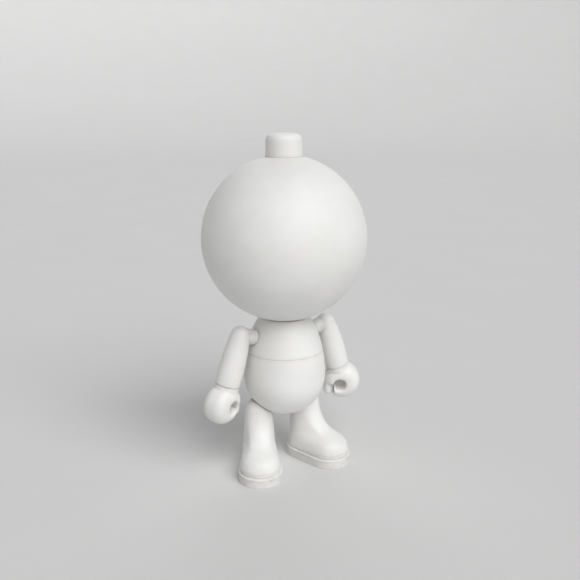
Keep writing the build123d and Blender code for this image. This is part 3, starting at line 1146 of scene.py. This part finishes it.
@dataclass
class Leg:
    """Leg and round-toed boot in one hollow piece, and the outsole under it."""

    side: Side
    finish: bpy.types.Material
    sole_finish: bpy.types.Material
    trunk: Trunk
    splay: float = math.radians(24.0)
    sole: float = 0.0056
    ledge: float = 0.0010
    tuck: float = 0.0007
    wall: float = 0.0022
    hollow_top: float = 0.0270
    gap: float = 0.0003
    spigot: float = 0.0050
    hip_hole: float = 0.00353
    rim_height: float = 0.0040
    rim_wall: float = 0.0016
    rim_play: float = 0.0001
    welt: float = 0.0012
    groove: float = 0.0004
    fall: float = 0.0003
    welt_edge: float = 0.00028
    welt_reach: float = 0.0006
    tread: tuple[tuple[float, float], ...] = (
        (0.0032, 0.0), (0.0030, 0.0004), (0.0022, 0.0004), (0.0020, 0.0), (0.0, 0.0)
    )
    groove_line: tuple[tuple[float, float], ...] = ((0.00012, 1.0), (0.00035, 0.55), (0.00035, 0.35))
    steps: int = 5
    widest: int = 3
    blends: int = 30
    calm: tuple[float, float] = (0.0085, 0.0345)
    stack: tuple[tuple[float, float, float, float], ...] = (
        (0.0056, 0.00950, 0.01140, 0.0189),
        (0.0063, 0.00988, 0.01178, 0.0189),
        (0.0074, 0.01012, 0.01202, 0.0189),
        (0.0090, 0.01020, 0.01210, 0.0189),
        (0.0125, 0.01010, 0.01120, 0.0189),
        (0.0140, 0.01000, 0.01020, 0.0187),
        (0.0155, 0.00990, 0.00890, 0.0179),
        (0.0168, 0.00983, 0.00770, 0.0165),
        (0.0180, 0.00975, 0.00690, 0.0139),
        (0.0210, 0.00960, 0.00700, 0.0086),
        (0.0240, 0.00940, 0.00760, 0.0054),
        (0.0270, 0.00920, 0.00830, 0.0030),
        (0.0310, 0.00890, 0.00870, 0.0011),
        (0.0350, 0.00840, 0.00840, 0.0005),
        (0.0390, 0.00740, 0.00740, 0.0005),
        (0.0420, 0.00490, 0.00490, 0.0005),
    )

    def __post_init__(self) -> None:
        """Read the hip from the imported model."""
        self.hip = Pivot.of(f"hip_{self.side.word}_turn").point
        turn = Matrix.Rotation(self.splay * self.side.value, 4, "Z")
        self.place = Matrix.Translation((self.hip.x, self.hip.y, 0)) @ turn
        self.foot = Ring(*self.stack[self.widest])

    def rings(self) -> list[Ring]:
        """Blend the stack of outlines into a smooth run.

        Returns:
            The outlines from the sole to the top of the leg.
        """
        knots = [Vector(row) for row in self.stack]
        ends = [knots[0] * 2 - knots[1], *knots, knots[-1] * 2 - knots[-2]]
        run = []
        for before, start, end, after in zip(ends, ends[1:], ends[2:], ends[3:]):
            lead = (end - before) * ((end[0] - start[0]) / (end[0] - before[0]))
            tail = (after - start) * ((end[0] - start[0]) / (after[0] - start[0]))
            for step in range(self.steps):
                t = step / self.steps
                run.append(Ring(*(
                    start * (2 * t**3 - 3 * t**2 + 1) + lead * (t**3 - 2 * t**2 + t)
                    + end * (3 * t**2 - 2 * t**3) + tail * (t**3 - t**2)
                )))
        return [*run, Ring(*knots[-1])]

    def boot(self) -> Body:
        """Model the leg and boot: a hollow skin, smoothed outside and dished on top to turn on the belly.

        Returns:
            The boot.
        """
        rings = self.rings()
        inside = [r.grown(-self.wall) for r in rings if r.height <= self.hollow_top + 1e-6]
        body = self.skin(rings)
        low, high = self.calm
        calmed(body, [v for v in body.verts if low < v.co.z < high], self.blends)
        hollow = self.skin([inside[0].raised(self.sole - self.wall), *inside])
        centre = Vector((0, 0, self.trunk.middle))
        dish = self.trunk.radius + self.gap
        line = along(centre, (self.hip - centre).normalized())
        hole = rod(line, dish - 3 * PAST, dish + self.spigot, self.hip_hole, 40)
        return carved(body, [(Carve.CUT, hollow), (Carve.CUT, ball(centre, dish, 128)), (Carve.CUT, hole)])

    def skin(self, rings: Sequence[Ring]) -> Body:
        """Draw a closed skin through a run of outlines, in place.

        Args:
            rings: The outlines, from the lowest up.

        Returns:
            The skin.
        """
        loft = Loft(rings[0])
        for ring in rings[1:]:
            loft.on(ring)
        return loft.done(self.place)

    def outsole(self) -> Body:
        """Model the sole: a welt over a shallow groove, a straight side, and a rim up inside the boot.

        Returns:
            The sole.
        """
        side = self.foot.grown(self.ledge)
        rim = self.foot.grown(-self.tuck - self.wall - self.rim_play)
        top, high = self.sole, self.sole + self.rim_height
        under = self.sole - self.welt
        run = [side.grown(-inset).raised(height) for inset, height in self.tread]
        run += [side.grown(-inset).raised(under - self.groove * share) for inset, share in self.groove_line]
        run += [side.raised(under), side.raised(top - self.fall), self.foot.raised(top)]
        inner = rim.grown(-self.rim_wall)
        run += [rim.raised(top), rim.raised(high), inner.raised(high), inner.raised(top)]
        return rolled(
            self.skin(run), self.welt_edge, 0.7, 3,
            where=lambda p: self.outer(p, side) < self.welt_reach and p.z < top + HAIR
            and (p.z > under - HAIR or p.z < HAIR),
        )

    def outer(self, point: Vector, ring: Ring) -> float:
        """Distance of a point inside an outline, seen from above."""
        local = self.place.inverted() @ point
        share = min(max(-local.y / ring.reach, 0.0), 1.0)
        radius = ring.heel + (ring.toe - ring.heel) * share
        return radius - math.hypot(local.x, local.y + share * ring.reach)

    def build(self) -> None:
        """Make the leg and its sole."""
        word = self.side.word
        finished(self.boot(), f"boot_{word}", f"leg_{word}", self.finish, f"leg_{word}")
        finished(self.outsole(), f"outsole_{word}", f"leg_{word}", self.sole_finish, f"sole_{word}", 0.5)


@dataclass
class Plugs:
    """Hard plugs that hold the shells together. Their solids stay as they are and get the plug plastic."""

    finish: bpy.types.Material

    def build(self) -> None:
        """Give each plug its plastic."""
        for name, node in sorted(frame["nodes"].items()):
            if "connector" in name:
                for slot in node.material_slots:
                    slot.material = self.finish
                LOG.info("%s: plug plastic", name)


# ---- studio -----------------------------------------------------------------------------------------------


@dataclass
class Studio:
    """Pale floor, soft lamps and the camera."""

    azimuth: float = math.radians(-28.0)
    away: float = 0.400
    height: float = 0.212
    pitch: float = math.radians(-14.4)
    heading: float = math.radians(-0.49)
    lens: float = 43.45
    floor_radius: float = 3.0
    bend: tuple[float, float] = (3.0, 1.9)
    lamps: tuple[tuple[str, tuple[float, float, float], float, float], ...] = (
        ("key", (0.10, -0.80, 0.74), math.radians(50.0), 2.6),
        ("fill", (-0.90, -0.30, 0.50), math.radians(70.0), 0.30),
        ("rim", (0.50, 0.85, 0.55), math.radians(60.0), 0.70),
    )
    sky: Colour = (0.80, 0.81, 0.82)
    sky_strength: float = 0.20

    def floor(self) -> None:
        """Lay the floor, which bends slowly up into a plain wall far behind on every side."""
        outline = (
            Outline(0.0, 0.0)
            .line(self.floor_radius, 0.0, 6)
            .arc(self.floor_radius, self.bend[1], -math.pi / 2, 24, self.bend[1] / self.bend[0])
        )
        body = outline.turned(96)
        bmesh.ops.reverse_faces(body, faces=body.faces)
        ground = held(body, "floor")
        ground.data.shade_smooth()
        ground.data.materials.append(PaleFloor("pale_floor").made())

    def light(self) -> None:
        """Hang the wide, soft lamps and set the sky."""
        for name, spot, spread, power in self.lamps:
            lamp = bpy.data.lights.new(name, "SUN")
            lamp.energy, lamp.angle = power, spread
            thing = bpy.data.objects.new(name, lamp)
            thing.location = spot
            thing.rotation_euler = (-Vector(spot)).to_track_quat("-Z", "Y").to_euler()
            bpy.context.scene.collection.objects.link(thing)
        world = bpy.data.worlds.new("sky")
        world.use_nodes = True
        sky = world.node_tree.nodes["Background"]
        sky.inputs["Color"].default_value = (*self.sky, 1.0)
        sky.inputs["Strength"].default_value = self.sky_strength
        bpy.context.scene.world = world
        bpy.context.scene.view_settings.view_transform = "Standard"

    def camera(self) -> None:
        """Set the camera at the figure's front, to its right and a little above."""
        eye = bpy.data.cameras.new("camera")
        eye.lens, eye.sensor_width = self.lens, 36.0
        eye.clip_start, eye.clip_end = 0.01, 50.0
        thing = bpy.data.objects.new("camera", eye)
        across, back = self.away * math.sin(self.azimuth), -self.away * math.cos(self.azimuth)
        thing.location = (across, back, self.height)
        thing.rotation_euler = (math.pi / 2 + self.pitch, 0.0, self.azimuth + self.heading)
        bpy.context.scene.collection.objects.link(thing)
        bpy.context.scene.camera = thing

    def build(self) -> None:
        """Set up the studio."""
        self.floor()
        self.light()
        self.camera()


def main() -> None:
    """Build the figure and the studio."""
    logging.basicConfig(level=logging.INFO, format="%(message)s")
    finishes = Finishes()
    Studio().build()
    Head(finishes.vinyl).build()
    trunk = Trunk(finishes.vinyl)
    trunk.build()
    for side in Side:
        Arm(side, finishes.vinyl, trunk).build()
        Leg(side, finishes.vinyl, finishes.sole, trunk).build()
    Plugs(finishes.plug).build()


if __name__ == "__main__":
    main()
